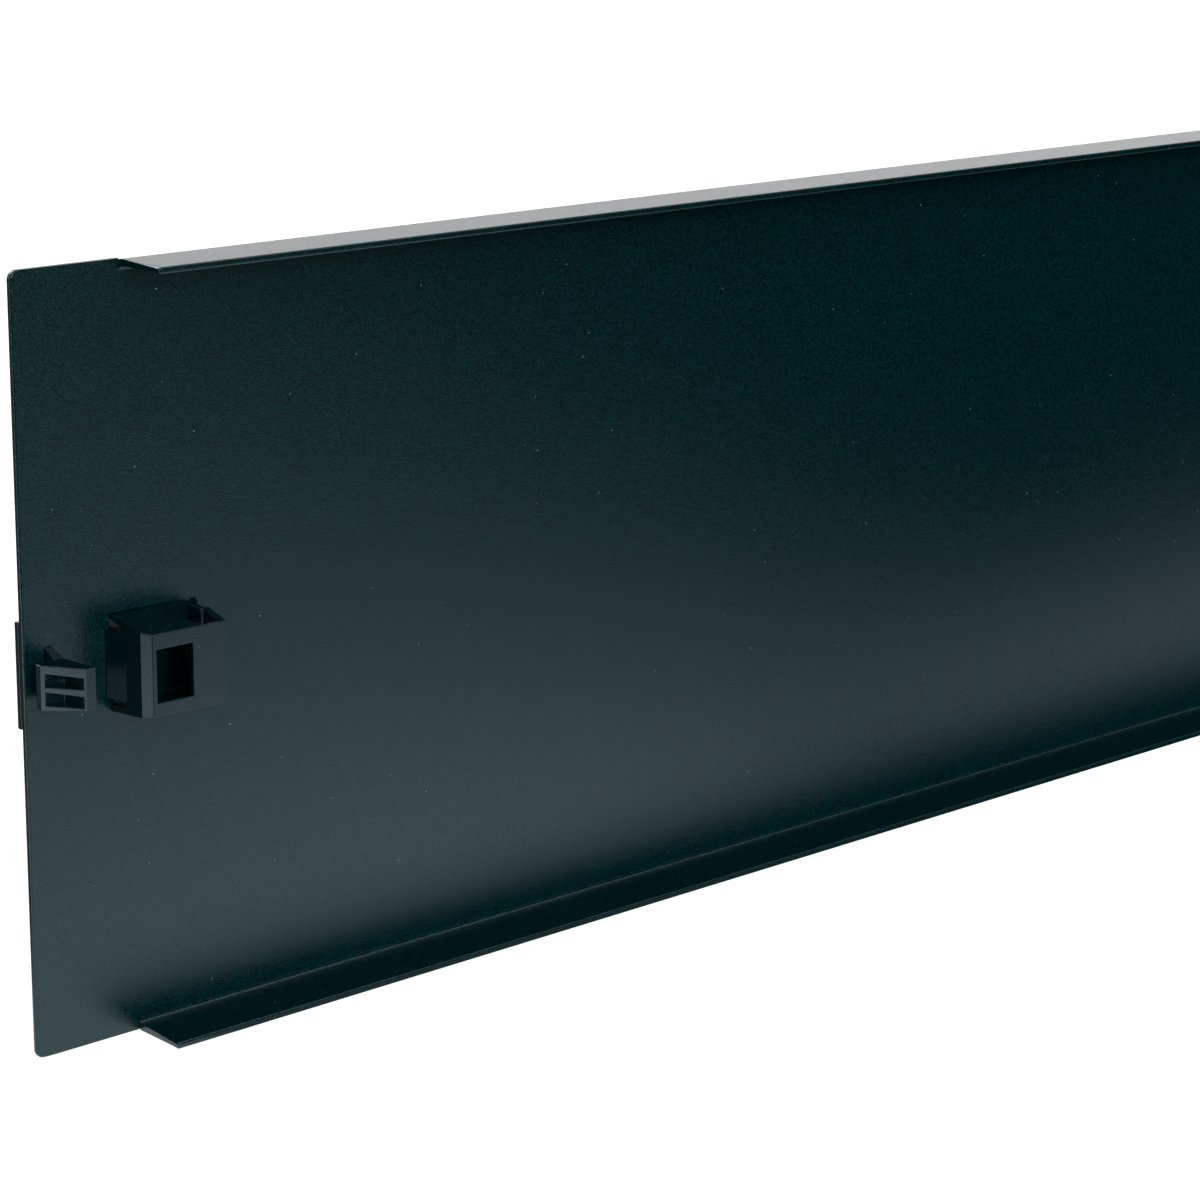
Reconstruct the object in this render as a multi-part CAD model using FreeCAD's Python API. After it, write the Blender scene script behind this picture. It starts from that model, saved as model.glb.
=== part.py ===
import FreeCAD, Part
import os

# A 3U rack blanking panel with a moulded snap clip at each end.
# X runs along the panel, Z is up, the front faces -Y. Origin: centre of the bounding box's bottom face.

# Panel: one folded steel sheet
PANEL_WIDTH = 482.6
PANEL_HEIGHT = 132.5
SHEET = 1.2
FLANGE_DEPTH = 12.8          # front face to the flange's free edge
BODY_WIDTH = 442.0           # length of the flanges, between the two bare ears
BEND_INSIDE_RADIUS = 0.9
EAR_CORNER_RADIUS = 1.5
CUTOUT_CLEARANCE = 0.15      # round every moulded feature that passes through the sheet
CUTOUT_CORNER_RADIUS = 0.6

# Clip: front plate
PLATE_LENGTH = 37.0
PLATE_HEIGHT = 18.0
PLATE_THICKNESS = 1.3
PLATE_CORNER_RADIUS = 2.0
PLATE_EDGE_RADIUS = 0.4

# Clip: catch hook. "in" is measured inward from the panel's end, "out" rearward from the sheet's rear face
HOOK_NECK_IN = 4.1
HOOK_NECK_THICKNESS = 1.4
HOOK_BARB_IN = 0.5
HOOK_BARB_OUT = 2.8
HOOK_BARB_EDGE = 1.45
HOOK_TIP_OUT = 10.4
HOOK_TIP_IN = 5.2
HOOK_TIP_WIDTH = 1.8
HOOK_ROOT_TOP = 4.4          # heights from the panel's mid-height
HOOK_HEAD_TOP = 2.95
HOOK_ROOT_BOTTOM = -4.65
HOOK_TIP_BOTTOM = -4.1
HOOK_POCKET_HEIGHT = 2.15
HOOK_POCKET_RIB = 0.95
HOOK_POCKET_MIDDLE = -1.1
HOOK_POCKET_WALL = 0.5
HOOK_FLOOR = 1.5

# Clip: locating box, a little below mid-height and inside the front plate's outline
BOX_IN = 16.7
BOX_ROOT_LENGTH = 17.2
BOX_ROOT_LOW = -8.8
BOX_ROOT_HIGH = 7.8
BOX_TIP_LOW = -7.8
BOX_TIP_HIGH = 6.25
BOX_OUT = 10.4
BOX_CHAMFER_IN = 1.25
BOX_CHAMFER_OUT = 1.6
BOX_INNER_TAPER = 1.3
BOX_WALL = 1.1
WINDOW_SIDE_MARGIN = 0.8
WINDOW_LENGTH = 7.2
WINDOW_HEIGHT = 9.1
WINDOW_BOTTOM_MARGIN = 2.3
TOP_WALL_LENGTH = 8.1        # what is left of the box's top wall, beside the outer wall
TOP_CUT_OUT = 4.4            # where the edge of that cut starts to slant
TOP_CUT_SLANT = 3.5
TOP_LIP = 0.6
SPRING_GAP_OUT = 3.3         # gap that frees the inner wall from its root
SPRING_GAP = 0.9
SLIT_HEIGHT = 2.1
SLIT_OUT = 4.4

# Clip: snap lug on the box's outer wall
LUG_REACH = 1.1
LUG_GAP = 0.1
LUG_OUT = 4.4
LUG_HEIGHT = 11.6

HALF_HEIGHT = PANEL_HEIGHT / 2
TOTAL_DEPTH = PLATE_THICKNESS + FLANGE_DEPTH
FRONT_Y = PLATE_THICKNESS - TOTAL_DEPTH / 2
REAR_Y = FRONT_Y + SHEET
END_X = PANEL_WIDTH / 2
BEND_OUTSIDE_RADIUS = BEND_INSIDE_RADIUS + SHEET
HOOK_LENGTH_IN = HOOK_TIP_IN + HOOK_TIP_WIDTH
HOOK_NECK_END = HOOK_NECK_IN + HOOK_NECK_THICKNESS
HOOK_BARB_BACK = HOOK_BARB_OUT + HOOK_BARB_EDGE
BOX_END_IN = BOX_IN + BOX_ROOT_LENGTH
BOX_MIDDLE = (BOX_ROOT_LOW + BOX_ROOT_HIGH) / 2
SPRING_GAP_END = SPRING_GAP_OUT + SPRING_GAP

ALONG = FreeCAD.Vector(1, 0, 0)
REARWARD = FreeCAD.Vector(0, 1, 0)


def point(inward, outward, height):
    """A point given from the panel's right end, its rear face and its mid-height."""
    return FreeCAD.Vector(END_X - inward, REAR_Y + outward, HALF_HEIGHT + height)


def plan_prism(outline, low, high):
    """Prism on an (inward, outward) outline, between two heights."""
    corners = [point(a, b, low) for a, b in outline]
    face = Part.Face(Part.makePolygon(corners + corners[:1]))
    return face.extrude(FreeCAD.Vector(0, 0, high - low))


def side_prism(outline, start, end):
    """Prism on an (outward, height) outline, between two inward distances."""
    corners = [point(start, b, c) for b, c in outline]
    face = Part.Face(Part.makePolygon(corners + corners[:1]))
    return face.extrude(FreeCAD.Vector(start - end, 0, 0))


def block(start, end, near, far, low, high):
    """Rectangular block between inward, outward and height limits."""
    return Part.makeBox(end - start, far - near, high - low, point(end, near, low))


def body_box(depth, low, high, front):
    """Block as long as the flanges, from a front plane rearward."""
    return Part.makeBox(BODY_WIDTH, depth, high - low, FreeCAD.Vector(-BODY_WIDTH / 2, front, low))


def edges_along(shape, axis):
    """Straight edges of a shape that run along one axis."""
    found = []
    for edge in shape.Edges:
        way = edge.Vertexes[-1].Point - edge.Vertexes[0].Point
        straight = isinstance(edge.Curve, Part.Line)
        if straight and way.cross(axis).Length < SHEET / 100:
            found.append(edge)
    return found


def both_ends(shape):
    """The shape and its mirror image at the panel's other end."""
    return [shape, shape.mirror(FreeCAD.Vector(0, 0, 0), ALONG)]


def folded_section():
    """Web, two bends and two flanges, as long as the flanges."""
    outer = body_box(FLANGE_DEPTH, 0, PANEL_HEIGHT, FRONT_Y)
    inner = body_box(FLANGE_DEPTH, SHEET, PANEL_HEIGHT - SHEET, REAR_Y)
    bends = [e for e in edges_along(outer, ALONG) if e.CenterOfMass.y < REAR_Y]
    folds = [e for e in edges_along(inner, ALONG) if e.CenterOfMass.y < FRONT_Y + FLANGE_DEPTH / 2]
    outer = outer.makeFillet(BEND_OUTSIDE_RADIUS, bends)
    return outer.cut(inner.makeFillet(BEND_INSIDE_RADIUS, folds))


def cutout(start, end, low, high):
    """Rounded cut-out through the sheet, one clearance larger than what passes through it."""
    gap = CUTOUT_CLEARANCE
    hole = block(start - gap, end + gap, -SHEET, 0, low - gap, high + gap)
    return hole.makeFillet(CUTOUT_CORNER_RADIUS, edges_along(hole, REARWARD))


def make_panel():
    """Folded sheet with bare ears, and a hook and a box cut-out near each end."""
    web = Part.makeBox(PANEL_WIDTH, SHEET, PANEL_HEIGHT, FreeCAD.Vector(-END_X, FRONT_Y, 0))
    web = web.makeFillet(EAR_CORNER_RADIUS, edges_along(web, REARWARD))
    for low in (0, PANEL_HEIGHT - BEND_OUTSIDE_RADIUS):
        web = web.cut(body_box(SHEET, low, low + BEND_OUTSIDE_RADIUS, FRONT_Y))
    panel = web.fuse(folded_section()).removeSplitter()
    for shape in (cutout(HOOK_NECK_IN, HOOK_NECK_END, HOOK_ROOT_BOTTOM, HOOK_ROOT_TOP),
                  cutout(BOX_IN, BOX_END_IN, BOX_ROOT_LOW, BOX_ROOT_HIGH)):
        for hole in both_ends(shape):
            panel = panel.cut(hole)
    return panel


def make_plate():
    """Front plate of the clip, flush with the panel's end and lying on its front face."""
    half = PLATE_HEIGHT / 2
    plate = block(0, PLATE_LENGTH, -SHEET - PLATE_THICKNESS, -SHEET, -half, half)
    inner_x = point(PLATE_LENGTH, 0, 0).x
    upright = [e for e in edges_along(plate, REARWARD) if abs(e.CenterOfMass.x - inner_x) < SHEET]
    plate = plate.makeFillet(PLATE_CORNER_RADIUS, upright)
    front_y = point(0, -SHEET - PLATE_THICKNESS, 0).y
    rim = [e for e in plate.Edges if abs(e.CenterOfMass.y - front_y) < PLATE_EDGE_RADIUS / 2]
    return plate.makeFillet(PLATE_EDGE_RADIUS, rim)


def make_hook():
    """Catch hook: thin neck, barb that springs behind the rack rail, ramp with two cored pockets."""
    plan = [(HOOK_NECK_IN, -SHEET), (HOOK_NECK_IN, HOOK_BARB_OUT), (HOOK_BARB_IN, HOOK_BARB_OUT),
            (HOOK_BARB_IN, HOOK_BARB_BACK), (HOOK_TIP_IN, HOOK_TIP_OUT), (HOOK_LENGTH_IN, HOOK_TIP_OUT),
            (HOOK_NECK_END, 0), (HOOK_NECK_END, -SHEET)]
    side = [(-SHEET, HOOK_ROOT_BOTTOM), (HOOK_BARB_BACK, HOOK_ROOT_BOTTOM), (HOOK_TIP_OUT, HOOK_TIP_BOTTOM),
            (HOOK_TIP_OUT, HOOK_HEAD_TOP), (HOOK_BARB_OUT, HOOK_HEAD_TOP), (0, HOOK_ROOT_TOP),
            (-SHEET, HOOK_ROOT_TOP)]
    hook = plan_prism(plan, HOOK_ROOT_BOTTOM, HOOK_ROOT_TOP).common(side_prism(side, 0, HOOK_LENGTH_IN))
    start = HOOK_BARB_IN + HOOK_POCKET_WALL
    end = HOOK_TIP_IN - HOOK_POCKET_WALL / 2
    floor = HOOK_BARB_OUT + HOOK_FLOOR
    for side in (-1, 1):
        middle = HOOK_POCKET_MIDDLE + side * (HOOK_POCKET_RIB + HOOK_POCKET_HEIGHT) / 2
        low = middle - HOOK_POCKET_HEIGHT / 2
        hook = hook.cut(block(start, end, floor, HOOK_TIP_OUT, low, low + HOOK_POCKET_HEIGHT))
    return hook


def box_body(inset):
    """The box's tapered body, or its hollow when the faces are moved in by the wall."""
    end = BOX_OUT - inset
    near = BOX_IN + inset
    far = BOX_END_IN - inset
    plan = [(near, -SHEET), (near, BOX_OUT - BOX_CHAMFER_OUT - inset), (near + BOX_CHAMFER_IN, end),
            (far - BOX_INNER_TAPER, end), (far, 0), (far, -SHEET)]
    low = BOX_ROOT_LOW + inset
    high = BOX_ROOT_HIGH - inset
    side = [(-SHEET, low), (0, low), (end, BOX_TIP_LOW + inset), (end, BOX_TIP_HIGH - inset), (0, high),
            (-SHEET, high)]
    return plan_prism(plan, low, high).common(side_prism(side, near, far))


def cut_slits(box):
    """Tapered slits at the top and bottom of the outer wall, which free its lug to spring."""
    near = BOX_IN - LUG_REACH
    far = BOX_IN + BOX_WALL
    for side, edge in ((-1, BOX_ROOT_LOW), (1, BOX_ROOT_HIGH)):
        root = edge - side * BOX_WALL / 2
        slit = [(-SHEET, root), (-SHEET, root - side * SLIT_HEIGHT), (SLIT_OUT, root - side * BOX_WALL)]
        box = box.cut(side_prism(slit, near, far))
    return box


def open_top(box):
    """Opening in the top wall, from the front plate to a thin lip over the rear wall."""
    near = BOX_IN + TOP_WALL_LENGTH
    far = BOX_END_IN - BOX_WALL
    lip = BOX_OUT - TOP_LIP
    corner = far - BOX_INNER_TAPER
    plan = [(near, -SHEET), (near, TOP_CUT_OUT), (near + TOP_CUT_SLANT, lip), (corner, lip),
            (corner, BOX_OUT - BOX_WALL), (far, 0), (far, -SHEET)]
    return box.cut(plan_prism(plan, BOX_TIP_HIGH - BOX_WALL, BOX_ROOT_HIGH))


def free_inner_wall(box):
    """Gap across the inner wall, open at the top beside a lowered root, so that the wall can spring."""
    near = BOX_END_IN - BOX_WALL - BOX_INNER_TAPER
    root_top = BOX_ROOT_HIGH - BOX_WALL
    box = box.cut(block(near, BOX_END_IN, -SHEET, SPRING_GAP_END, root_top, BOX_ROOT_HIGH))
    floor = BOX_TIP_LOW + BOX_WALL
    return box.cut(block(near, BOX_END_IN, SPRING_GAP_OUT, SPRING_GAP_END, floor, BOX_ROOT_HIGH))


def make_box():
    """Locating box: tapered and hollow, with a rear window, slits, an open top and a sprung inner wall."""
    box = box_body(0).cut(box_body(BOX_WALL))
    left = BOX_IN + BOX_CHAMFER_IN + WINDOW_SIDE_MARGIN
    low = BOX_TIP_LOW + WINDOW_BOTTOM_MARGIN
    window = block(left, left + WINDOW_LENGTH, BOX_OUT - 2 * BOX_WALL, BOX_OUT, low, low + WINDOW_HEIGHT)
    return free_inner_wall(open_top(cut_slits(box.cut(window))))


def make_lug():
    """Wedge lug on the box's outer wall, which springs out behind the sheet."""
    root = BOX_IN + BOX_WALL / 2
    plan = [(root, LUG_GAP), (BOX_IN - LUG_REACH, LUG_GAP), (BOX_IN, LUG_OUT), (root, LUG_OUT)]
    return plan_prism(plan, BOX_MIDDLE - LUG_HEIGHT / 2, BOX_MIDDLE + LUG_HEIGHT / 2)


def make_clip():
    """One moulding: front plate, catch hook and locating box with its lug."""
    clip = make_plate()
    for piece in (make_hook(), make_box(), make_lug()):
        clip = clip.fuse(piece)
    return clip.removeSplitter()


def main():
    os.makedirs("parts", exist_ok=True)
    right, left = both_ends(make_clip())
    for name, shape in (("panel", make_panel()), ("clip_right", right), ("clip_left", left)):
        shape.exportStep("parts/" + name + ".step")


main()
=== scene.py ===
import bmesh
import bpy
from math import radians
from mathutils import Matrix, Vector


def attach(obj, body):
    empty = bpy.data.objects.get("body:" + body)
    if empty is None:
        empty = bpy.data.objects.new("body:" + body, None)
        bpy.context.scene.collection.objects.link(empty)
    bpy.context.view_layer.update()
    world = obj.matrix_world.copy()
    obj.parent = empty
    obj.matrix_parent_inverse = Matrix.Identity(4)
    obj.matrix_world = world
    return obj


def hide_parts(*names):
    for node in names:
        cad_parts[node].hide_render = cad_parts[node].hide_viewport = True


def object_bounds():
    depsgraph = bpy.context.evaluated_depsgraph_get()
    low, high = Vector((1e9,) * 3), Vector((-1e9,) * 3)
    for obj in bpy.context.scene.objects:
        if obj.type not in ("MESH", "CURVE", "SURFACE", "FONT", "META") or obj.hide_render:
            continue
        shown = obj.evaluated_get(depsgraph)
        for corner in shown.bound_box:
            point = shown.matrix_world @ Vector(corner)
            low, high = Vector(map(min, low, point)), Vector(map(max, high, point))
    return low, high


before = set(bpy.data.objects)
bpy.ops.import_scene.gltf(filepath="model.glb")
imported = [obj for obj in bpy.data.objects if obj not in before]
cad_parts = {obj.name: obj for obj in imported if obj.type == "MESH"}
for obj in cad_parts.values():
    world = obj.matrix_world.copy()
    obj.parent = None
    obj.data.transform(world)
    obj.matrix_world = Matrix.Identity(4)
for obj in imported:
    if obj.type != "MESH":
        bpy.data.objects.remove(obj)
START_LOW, START_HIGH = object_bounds()

MM = 0.001


# ---------------------------------------------------------------- sizes of the pieces

# How far the sharp edges are rounded over, and in how many steps.
PANEL_ROUNDING = 0.42 * MM
PANEL_STEPS = 4
CLIP_ROUNDING = 0.16 * MM
CLIP_STEPS = 3
FULLY_ROUNDED = 1.0
KEPT_SHARP = 0.0

# A rounding takes at most this share of the shortest edge beside it.
SHARE_OF_ROOM = 0.45
UNLIMITED_ROOM = 1.0
NEARLY_PARALLEL = 0.8

# Angles between two faces.
FLAT_TURN = radians(0.5)
SAME_CURVE = radians(12)
SMOOTH_TURN = radians(35)
SHARP_TURN = radians(50)

WIDE_FACE = 0.5 * MM
LOOSE_GAP = 0.004 * MM
TINY_EDGE = 0.0005 * MM

# Places whose edges stay sharp. Spans along X run inwards from the part's end.
PART_END = START_HIGH[0]
PART_FRONT = START_LOW[1]
CUT_OUTS_X = (2.3 * MM, 41.3 * MM)
CUT_OUTS_Z = (50 * MM, 80 * MM)
BEND_ENDS_X = (19.3 * MM, 21.3 * MM)
BEND_STEP = 3 * MM
FRONT_PLATE_Y = PART_FRONT + 1.15 * MM
SLIT_X = (16.0 * MM, 18.4 * MM)
SLIT_BACK_Y = 0.6 * MM


# ---------------------------------------------------------------- pieces

def within(value, span):
    start, end = span
    return start < value < end


def middle_of(edge):
    return (edge.verts[0].co + edge.verts[1].co) / 2


def direction_of(edge):
    return (edge.verts[1].co - edge.verts[0].co).normalized()


def width_of(face):
    """A face's area over its longest edge, which is the width of a long strip."""
    return face.calc_area() / max(edge.calc_length() for edge in face.edges)


def is_wide(face):
    return width_of(face) > WIDE_FACE


def room_beside(edge):
    """Length of the shortest edge that turns away from this one at either end."""
    along = direction_of(edge)
    lengths = []
    for corner in edge.verts:
        for other in corner.link_edges:
            if abs(direction_of(other).dot(along)) < NEARLY_PARALLEL:
                lengths.append(other.calc_length())
    return min(lengths, default=UNLIMITED_ROOM)


def panel_share(edge):
    """The rims of the cut-outs and the small steps at the ends of the bends stay sharp."""
    middle = middle_of(edge)
    inwards = PART_END - abs(middle.x)
    if within(inwards, CUT_OUTS_X) and within(middle.z, CUT_OUTS_Z):
        return KEPT_SHARP
    if within(inwards, BEND_ENDS_X) and edge.calc_length() < BEND_STEP and middle.y < 0:
        return KEPT_SHARP
    return FULLY_ROUNDED


def clip_share(edge):
    """The front plate has its own rounding, and the narrow slit in the cut-out stays sharp."""
    middle = middle_of(edge)
    inwards = PART_END - abs(middle.x)
    if middle.y < FRONT_PLATE_Y:
        return KEPT_SHARP
    if within(inwards, SLIT_X) and middle.y < SLIT_BACK_Y:
        return KEPT_SHARP
    return FULLY_ROUNDED


def mark_sharp_edges(mesh, radius, share_of):
    """Give each sharp edge the share of the full radius that it has room for."""
    solid = bmesh.new()
    solid.from_mesh(mesh)
    share = solid.edges.layers.float.new("bevel_weight_edge")
    for edge in solid.edges:
        if edge.calc_face_angle(0.0) > SHARP_TURN:
            room = SHARE_OF_ROOM * room_beside(edge) / radius
            edge[share] = share_of(edge) * min(FULLY_ROUNDED, room)
    solid.to_mesh(mesh)
    solid.free()


def corner_normal(face, corner):
    """A wide face turns only within its own curve, and a narrow one runs into the wide face beside it."""
    limit = SAME_CURVE if is_wide(face) else SMOOTH_TURN
    near = [other for other in corner.link_faces if other.normal.angle(face.normal, 0.0) < limit]
    wide = [other for other in near if is_wide(other)]
    if wide and not is_wide(face):
        return max(wide, key=lambda other: other.calc_area()).normal.copy()
    total = Vector((0, 0, 0))
    for other in near or [face]:
        total += other.normal * other.calc_area()
    return total.normalized()


def keep_flat_faces_flat(mesh):
    """Let only the rounded edges and the bends curve in the light."""
    solid = bmesh.new()
    solid.from_mesh(mesh)
    normals = [corner_normal(face, loop.vert) for face in solid.faces for loop in face.loops]
    solid.free()
    mesh.normals_split_custom_set(normals)


def edit_all_of(piece):
    """Open one piece for editing, with its whole mesh selected and nothing else."""
    bpy.ops.object.select_all(action="DESELECT")
    piece.select_set(True)
    bpy.context.view_layer.objects.active = piece
    bpy.ops.object.mode_set(mode="EDIT")
    bpy.ops.mesh.select_all(action="SELECT")


def copy_of_node(node_name, piece_name):
    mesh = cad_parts[node_name].data.copy()
    piece = bpy.data.objects.new(piece_name, mesh)
    bpy.context.scene.collection.objects.link(piece)
    return piece


def join_loose_triangles(piece):
    """Merge the corners that meet, and make one face of the triangles that lie in one plane."""
    edit_all_of(piece)
    bpy.ops.mesh.remove_doubles(threshold=LOOSE_GAP)
    bpy.ops.mesh.customdata_custom_splitnormals_clear()
    bpy.ops.mesh.dissolve_limited(angle_limit=FLAT_TURN)
    bpy.ops.object.mode_set(mode="OBJECT")


def round_over(piece, radius, steps, share_of):
    """Round the sharp edges, and merge the tiny edges that this leaves."""
    mark_sharp_edges(piece.data, radius, share_of)
    bevel = piece.modifiers.new("eased edges", "BEVEL")
    bevel.width = radius
    bevel.segments = steps
    bevel.limit_method = "WEIGHT"
    bevel.use_clamp_overlap = False
    bpy.ops.object.modifier_apply(modifier=bevel.name)
    edit_all_of(piece)
    bpy.ops.mesh.remove_doubles(threshold=TINY_EDGE)
    bpy.ops.object.mode_set(mode="OBJECT")


def eased_copy(node_name, piece_name, radius, steps, share_of):
    """A copy of a solid, with its sharp edges rounded over."""
    piece = copy_of_node(node_name, piece_name)
    join_loose_triangles(piece)
    round_over(piece, radius, steps, share_of)
    bpy.ops.object.shade_smooth_by_angle(angle=SMOOTH_TURN)
    keep_flat_faces_flat(piece.data)
    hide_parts(node_name)
    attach(piece, "root")
    return piece


# ---------------------------------------------------------------- material nodes

# Levels at the start and at the end of a ramp.
RISE = (0.0, 1.0)
FALL = (1.0, 0.0)


def new_material(name):
    material = bpy.data.materials.new(name)
    material.use_nodes = True
    shader = material.node_tree.nodes["Principled BSDF"]
    return material, shader


def add_node(owner, kind, **settings):
    node = owner.node_tree.nodes.new(kind)
    for key, value in settings.items():
        setattr(node, key, value)
    return node


def join(owner, start, end):
    owner.node_tree.links.new(start, end)


def ramp(owner, value, span, levels):
    """A smooth change from one level to another while a value runs through a span."""
    fade = add_node(owner, "ShaderNodeMapRange", interpolation_type="SMOOTHSTEP")
    for name, number in zip(("From Min", "From Max", "To Min", "To Max"), span + levels):
        fade.inputs[name].default_value = number
    join(owner, value, fade.inputs["Value"])
    return fade.outputs["Result"]


def combine(owner, operation, first, second):
    step = add_node(owner, "ShaderNodeMath", operation=operation)
    join(owner, first, step.inputs[0])
    join(owner, second, step.inputs[1])
    return step.outputs[0]


def product(owner, first, second):
    return combine(owner, "MULTIPLY", first, second)


def larger(owner, first, second):
    return combine(owner, "MAXIMUM", first, second)


def leaning(owner, first, share, second):
    """Second plus a share of first."""
    total = add_node(owner, "ShaderNodeMath", operation="MULTIPLY_ADD")
    total.inputs[1].default_value = share
    join(owner, first, total.inputs[0])
    join(owner, second, total.inputs[2])
    return total.outputs[0]


def object_place(material):
    return add_node(material, "ShaderNodeTexCoord").outputs["Object"]


def blend(material, share, first, second):
    """A colour between two others; each is a colour or a socket."""
    mix = add_node(material, "ShaderNodeMix", data_type="RGBA")
    share_socket, first_socket, second_socket = mix.inputs[0], mix.inputs[6], mix.inputs[7]
    join(material, share, share_socket)
    for socket, colour in ((first_socket, first), (second_socket, second)):
        if isinstance(colour, tuple):
            socket.default_value = colour
        else:
            join(material, colour, socket)
    return mix.outputs[2]


# ---------------------------------------------------------------- finishes

COAT_DARK = (0.0, 0.0060, 0.0068, 1)
COAT_LIGHT = (0.0004, 0.0200, 0.0212, 1)
PLASTIC_DARK = (0.0, 0.0065, 0.008, 1)
PLASTIC_LIGHT = (0.0005, 0.010, 0.0125, 1)
# Pale specks: dust on the coat, and painted glints on the clip.
DUST_AND_GLINT = (0.16, 0.2, 0.2, 1)
GLOSS_TINT = (0.72, 0.92, 1.0, 1)

# How many grains, clouds or specks there are to the metre.
COAT_GRAINS = 4200
COAT_CLOUDS = 22
COAT_SPECKS = 210
PLASTIC_GRAIN = 4200
PLASTIC_MOTTLE = 2400
# The clip's specks are painted glints, standing in for glints on its moulded edges.
PLASTIC_GLINT_SPECKS = 480

COAT_SPECK_RADIUS = 0.16 * MM
PLASTIC_GLINT_RADIUS = 0.1 * MM
SPECK_CORE = 0.6

COAT_SKIN_DEPTH = 0.05 * MM
PLASTIC_SKIN_DEPTH = 0.03 * MM

COAT_ROUGHNESS = (0.13, 0.16)
PLASTIC_ROUGHNESS = (0.15, 0.23)
COAT_IOR = 1.6
PLASTIC_IOR = 1.7

# A pattern's values run from 0 to 1, and most of them lie near the middle.
MIDDLE_VALUES = (0.3, 0.7)
NARROW_MIDDLE = (0.35, 0.65)


def noise_field(material, place, per_metre, detail):
    """Noise whose lumps are one metre divided by per_metre across."""
    noise = add_node(material, "ShaderNodeTexNoise", noise_dimensions="3D")
    noise.inputs["Scale"].default_value = per_metre
    noise.inputs["Detail"].default_value = detail
    join(material, place, noise.inputs["Vector"])
    return noise.outputs["Fac"]


def cell_field(material, place, per_metre):
    """Packed cells, one metre divided by per_metre apart."""
    cells = add_node(material, "ShaderNodeTexVoronoi", voronoi_dimensions="3D", feature="F1")
    cells.inputs["Scale"].default_value = per_metre
    join(material, place, cells.inputs["Vector"])
    return cells


def paint_grains(material, place, per_metre):
    """Packed grains, each with a shade of its own between 0 and 1."""
    grains = cell_field(material, place, per_metre)
    return ramp(material, grains.outputs["Color"], MIDDLE_VALUES, RISE)


# Used for real dust on the coat and for painted glints on the clip.
def dust_and_glint_specks(material, place, per_metre, radius):
    """Scattered round specks: 1 on a speck, 0 elsewhere."""
    cells = cell_field(material, place, per_metre)
    reach = radius * per_metre
    return ramp(material, cells.outputs["Distance"], (SPECK_CORE * reach, reach), FALL)


def raise_skin(material, shader, height, depth):
    skin = add_node(material, "ShaderNodeBump")
    skin.inputs["Strength"].default_value = 1.0
    skin.inputs["Distance"].default_value = depth
    join(material, height, skin.inputs["Height"])
    join(material, skin.outputs["Normal"], shader.inputs["Normal"])


def powder_coat():
    """Semi-gloss black powder coat with a teal cast: packed grains, a pebbled skin and some dust."""
    material, shader = new_material("black powder coat")
    place = object_place(material)
    pebble = noise_field(material, place, COAT_GRAINS, detail=1)
    grains = paint_grains(material, place, COAT_GRAINS)
    cloud = noise_field(material, place, COAT_CLOUDS, detail=3)
    specks = dust_and_glint_specks(material, place, COAT_SPECKS, COAT_SPECK_RADIUS)
    raise_skin(material, shader, pebble, COAT_SKIN_DEPTH)
    paint = blend(material, grains, COAT_DARK, COAT_LIGHT)
    join(material, blend(material, specks, paint, DUST_AND_GLINT), shader.inputs["Base Color"])
    gloss = ramp(material, cloud, MIDDLE_VALUES, COAT_ROUGHNESS)
    join(material, gloss, shader.inputs["Roughness"])
    shader.inputs["IOR"].default_value = COAT_IOR
    shader.inputs["Specular Tint"].default_value = GLOSS_TINT
    return material


def clip_plastic():
    """Satin black moulded plastic: a faint spark-eroded grain, a slight mottle, and pale specks that are
    painted glints.
    """
    material, shader = new_material("black moulded plastic")
    place = object_place(material)
    grain = noise_field(material, place, PLASTIC_GRAIN, detail=2)
    mottle = noise_field(material, place, PLASTIC_MOTTLE, detail=2)
    # Painted glints: pale specks that stand in for glints on the moulding.
    specks = dust_and_glint_specks(material, place, PLASTIC_GLINT_SPECKS, PLASTIC_GLINT_RADIUS)
    raise_skin(material, shader, grain, PLASTIC_SKIN_DEPTH)
    shade = ramp(material, mottle, NARROW_MIDDLE, RISE)
    plastic = blend(material, shade, PLASTIC_DARK, PLASTIC_LIGHT)
    join(material, blend(material, specks, plastic, DUST_AND_GLINT), shader.inputs["Base Color"])
    gloss = ramp(material, mottle, MIDDLE_VALUES, PLASTIC_ROUGHNESS)
    join(material, gloss, shader.inputs["Roughness"])
    shader.inputs["IOR"].default_value = PLASTIC_IOR
    shader.inputs["Specular Tint"].default_value = GLOSS_TINT
    return material


# ---------------------------------------------------------------- table

WHITE = (1, 1, 1, 1)
TABLE_GREY = (0.42, 0.42, 0.42, 1)
TABLE_GLOW = 0.85
TABLE_SIZE = 6

# The mirrored table, in metres from the part's middle: where a change starts and ends,
# and how bright the table is before and after it.
RIGHT_HALF = (-0.14, 0.15)
RIGHT_HALF_LEVELS = (0.0, 1.02)
RIGHT_HALF_LEAN = 0.3
FAR_BACK = (0.0, 0.32)
FAR_BACK_LEVELS = (1.0, 0.3)
CLOSE_BEHIND = (0.045, 0.12)
CLOSE_BEHIND_LEVELS = (0.56, 0.0)
UP_TO_PART = (-0.06, -0.005)
UP_TO_PART_LEVELS = (0.12, 1.0)
BEHIND_FLANGE = (0.005, 0.033)
BEHIND_FLANGE_LEAN = 0.032
PAST_FLANGE_END = (0.2, 0.225)
DARK_CORNER_X = (0.24, 0.32)
DARK_CORNER_Y = (0.1, 0.17)
SIDE_STRIP_X = (0.32, 0.38)
SIDE_STRIP_LEVELS = (0.0, 3.5)
SIDE_STRIP_FRONT_Y = (-0.05, -0.01)
SIDE_STRIP_BACK_Y = (0.02, 0.055)


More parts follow.
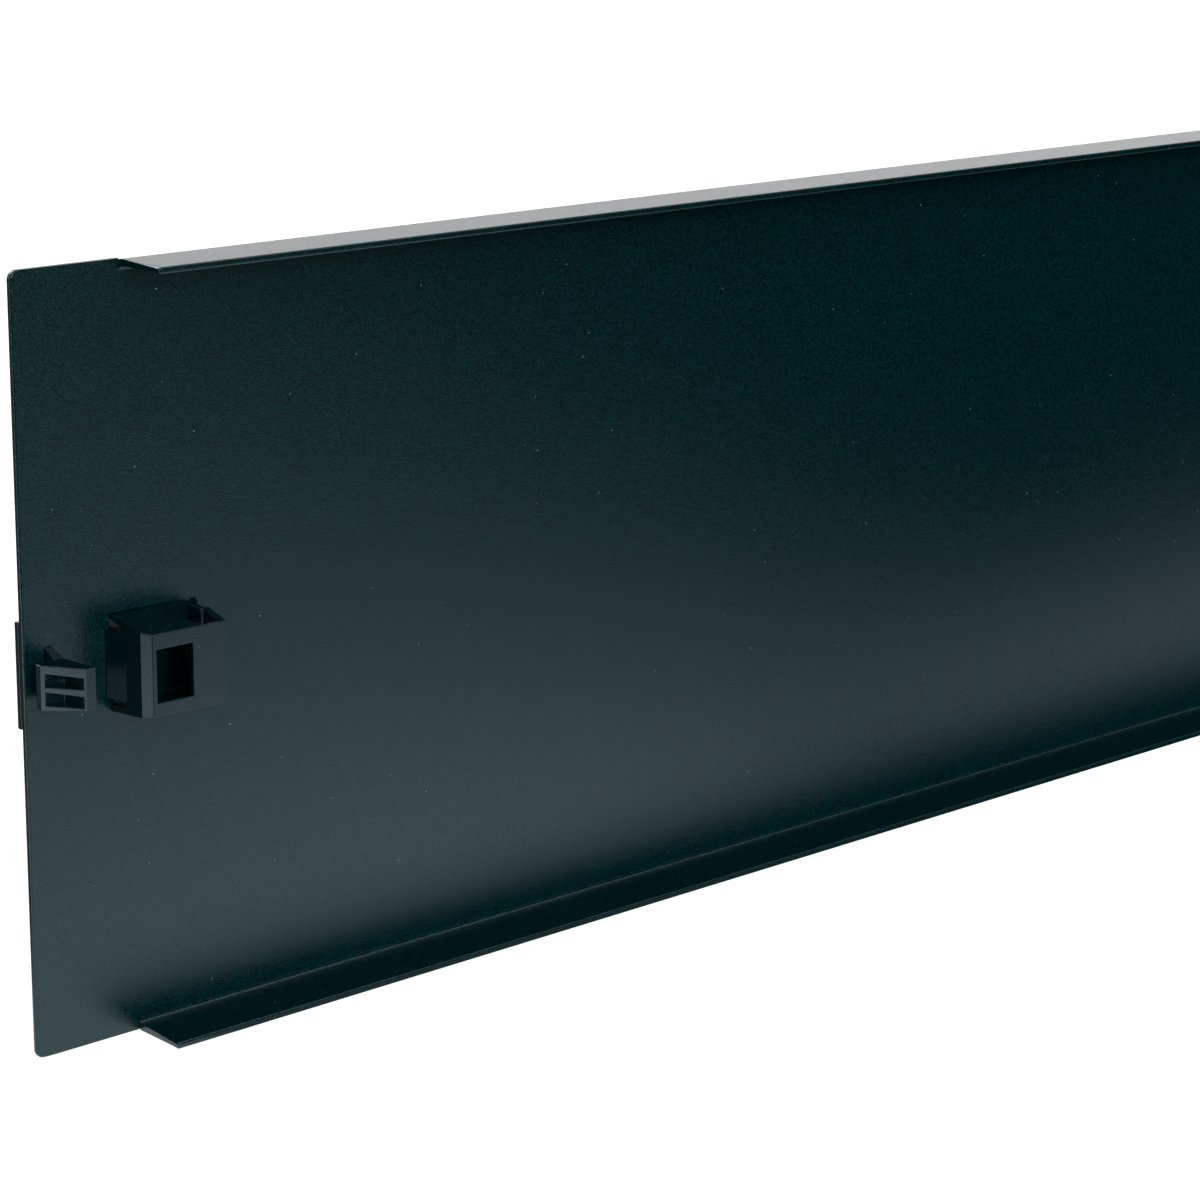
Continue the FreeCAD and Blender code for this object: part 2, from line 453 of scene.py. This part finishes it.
def open_table(material, sideways, back):
    """The table behind the part: bright behind its right half, and half bright close behind it all."""
    slanted = leaning(material, back, RIGHT_HALF_LEAN, sideways)
    right_half = ramp(material, slanted, RIGHT_HALF, RIGHT_HALF_LEVELS)
    far_back = ramp(material, back, FAR_BACK, FAR_BACK_LEVELS)
    close_behind = ramp(material, back, CLOSE_BEHIND, CLOSE_BEHIND_LEVELS)
    return larger(material, product(material, right_half, far_back), close_behind)


def painted_shade_by_part(material, sideways, back):
    """Painted shade in the table's reflected glow: along the bottom flange, up to its end, and dark in
    front of the part.
    """
    up_to_part = ramp(material, back, UP_TO_PART, UP_TO_PART_LEVELS)
    slanted = leaning(material, sideways, BEHIND_FLANGE_LEAN, back)
    behind_flange = ramp(material, slanted, BEHIND_FLANGE, RISE)
    past_end = ramp(material, sideways, PAST_FLANGE_END, RISE)
    return product(material, larger(material, behind_flange, past_end), up_to_part)


def dark_back_corner(material, sideways, back):
    """The table goes dark where it is both past the part's right end and well behind the part."""
    left_of_corner = ramp(material, sideways, DARK_CORNER_X, FALL)
    front_of_corner = ramp(material, back, DARK_CORNER_Y, FALL)
    return larger(material, left_of_corner, front_of_corner)


def side_strip(material, sideways, back):
    """A narrow bright strip off to the right, which the clip's side mirrors."""
    from_front = ramp(material, back, SIDE_STRIP_FRONT_Y, RISE)
    to_back = ramp(material, back, SIDE_STRIP_BACK_Y, FALL)
    strip = product(material, from_front, to_back)
    return product(material, ramp(material, sideways, SIDE_STRIP_X, SIDE_STRIP_LEVELS), strip)


def mirrored_table(material):
    """How bright each spot of the table is where the part mirrors it."""
    split = add_node(material, "ShaderNodeSeparateXYZ")
    join(material, object_place(material), split.inputs[0])
    sideways, back = split.outputs["X"], split.outputs["Y"]
    table = open_table(material, sideways, back)
    # The table's reflected glow takes a painted shade of the part here.
    shaded = product(material, table, painted_shade_by_part(material, sideways, back))
    lit = product(material, shaded, dark_back_corner(material, sideways, back))
    return larger(material, lit, side_strip(material, sideways, back))


def pale_table():
    """White to the camera, plain grey under the lamps, and, where the part mirrors it, a glow painted
    with bright zones and with the part's shade.
    """
    material, shader = new_material("studio floor")
    paths = add_node(material, "ShaderNodeLightPath")
    glow = add_node(material, "ShaderNodeMath", operation="MULTIPLY")
    glow.inputs[1].default_value = TABLE_GLOW
    join(material, paths.outputs["Is Camera Ray"], glow.inputs[0])
    join(material, glow.outputs[0], shader.inputs["Emission Strength"])
    shader.inputs["Emission Color"].default_value = WHITE
    shader.inputs["Base Color"].default_value = TABLE_GREY
    shader.inputs["Roughness"].default_value = 1.0
    shader.inputs["Specular IOR Level"].default_value = 0.0
    mirrored = add_node(material, "ShaderNodeEmission")
    join(material, mirrored_table(material), mirrored.inputs["Strength"])
    choice = add_node(material, "ShaderNodeMixShader")
    join(material, paths.outputs["Is Glossy Ray"], choice.inputs[0])
    join(material, shader.outputs[0], choice.inputs[1])
    join(material, mirrored.outputs[0], choice.inputs[2])
    surface = material.node_tree.nodes["Material Output"].inputs["Surface"]
    join(material, choice.outputs[0], surface)
    return material


def studio_floor():
    bpy.ops.object.select_all(action="DESELECT")
    bpy.ops.mesh.primitive_plane_add(size=TABLE_SIZE, location=(0, 0, 0))
    floor = bpy.context.object
    floor.name = "studio_floor"
    floor.data.materials.append(pale_table())


# ---------------------------------------------------------------- room, lamps and camera

# Directions in the room: how far one points back, up or right, from -1 to 1.
FRONT_TO_BACK = (-0.2, 0.32)
UP_TO_CEILING = (0.58, 0.76)
LEFT_CEILING = (-0.8, -0.54)
LEFT_CEILING_LEVELS = (0.08, 1.0)
FILL_TO_BACK = (-0.1, 0.7)
FILL_LEVELS = (0.15, 1.1)
ROOM_AS_SEEN = 1.0

PART_MIDDLE = (0, 0, 0.06)

CAMERA_PLACE = (0.5126, 0.4365, 0.2193)
CAMERA_HEADING = radians(180 - 41.91)
CAMERA_TILT = radians(90 - 15.24)
CAMERA_ROLL = radians(0.69)
SENSOR_WIDTH = 36
LENS = 99
NEAR_LIMIT = 0.01


def mirrored_room(world, way):
    """White in front of the part and overhead, and dark behind it, as the part mirrors the room."""
    front = ramp(world, way.outputs["Y"], FRONT_TO_BACK, FALL)
    ceiling = ramp(world, way.outputs["Z"], UP_TO_CEILING, RISE)
    length = ramp(world, way.outputs["X"], LEFT_CEILING, LEFT_CEILING_LEVELS)
    return larger(world, front, product(world, ceiling, length))


def studio_world():
    """White to the camera, the mirrored room for reflections, and a fill from behind for matt light."""
    world = bpy.data.worlds.new("studio")
    bpy.context.scene.world = world
    world.use_nodes = True
    place = add_node(world, "ShaderNodeTexCoord")
    way = add_node(world, "ShaderNodeSeparateXYZ")
    join(world, place.outputs["Generated"], way.inputs[0])
    paths = add_node(world, "ShaderNodeLightPath")
    gloss = add_node(world, "ShaderNodeMix")
    join(world, paths.outputs["Is Glossy Ray"], gloss.inputs["Factor"])
    join(world, ramp(world, way.outputs["Y"], FILL_TO_BACK, FILL_LEVELS), gloss.inputs["A"])
    join(world, mirrored_room(world, way), gloss.inputs["B"])
    seen = add_node(world, "ShaderNodeMix")
    seen.inputs["B"].default_value = ROOM_AS_SEEN
    join(world, paths.outputs["Is Camera Ray"], seen.inputs["Factor"])
    join(world, gloss.outputs["Result"], seen.inputs["A"])
    background = world.node_tree.nodes["Background"]
    background.inputs["Color"].default_value = WHITE
    join(world, seen.outputs["Result"], background.inputs["Strength"])


def add_to_scene(name, data):
    holder = bpy.data.objects.new(name, data)
    bpy.context.scene.collection.objects.link(holder)
    return holder


def soft_lamp(name, place, aim, size, power):
    lamp = bpy.data.lights.new(name, "AREA")
    lamp.shape = "SQUARE"
    lamp.size = size
    lamp.energy = power
    holder = add_to_scene(name, lamp)
    holder.location = place
    holder.rotation_euler = (Vector(aim) - Vector(place)).to_track_quat("-Z", "Y").to_euler()


def studio_lamps():
    soft_lamp("rear light", place=(0.7, 1.9, 0.7), aim=(0.05, 0, 0.06), size=0.5, power=16)
    soft_lamp("front light", place=(0.3, -1.4, 1.6), aim=PART_MIDDLE, size=1.2, power=26)


def studio_camera():
    camera = bpy.data.cameras.new("camera")
    camera.sensor_width = SENSOR_WIDTH
    camera.lens = LENS
    camera.clip_start = NEAR_LIMIT
    holder = add_to_scene("camera", camera)
    heading = Matrix.Rotation(CAMERA_HEADING, 3, "Z")
    tilt = Matrix.Rotation(CAMERA_TILT, 3, "X")
    roll = Matrix.Rotation(CAMERA_ROLL, 3, "Z")
    holder.rotation_euler = (heading @ tilt @ roll).to_euler()
    holder.location = CAMERA_PLACE
    bpy.context.scene.camera = holder


# ---------------------------------------------------------------- build

def give_finish(piece, material):
    piece.data.materials.clear()
    piece.data.materials.append(material)


def main():
    coat = powder_coat()
    plastic = clip_plastic()
    panel = eased_copy("panel", "coated_panel", PANEL_ROUNDING, PANEL_STEPS, panel_share)
    give_finish(panel, coat)
    for side in ("right", "left"):
        clip = eased_copy("clip_" + side, "moulded_clip_" + side, CLIP_ROUNDING, CLIP_STEPS, clip_share)
        give_finish(clip, plastic)
    studio_floor()
    studio_world()
    studio_lamps()
    studio_camera()
    bpy.context.scene.view_settings.view_transform = "Standard"


main()
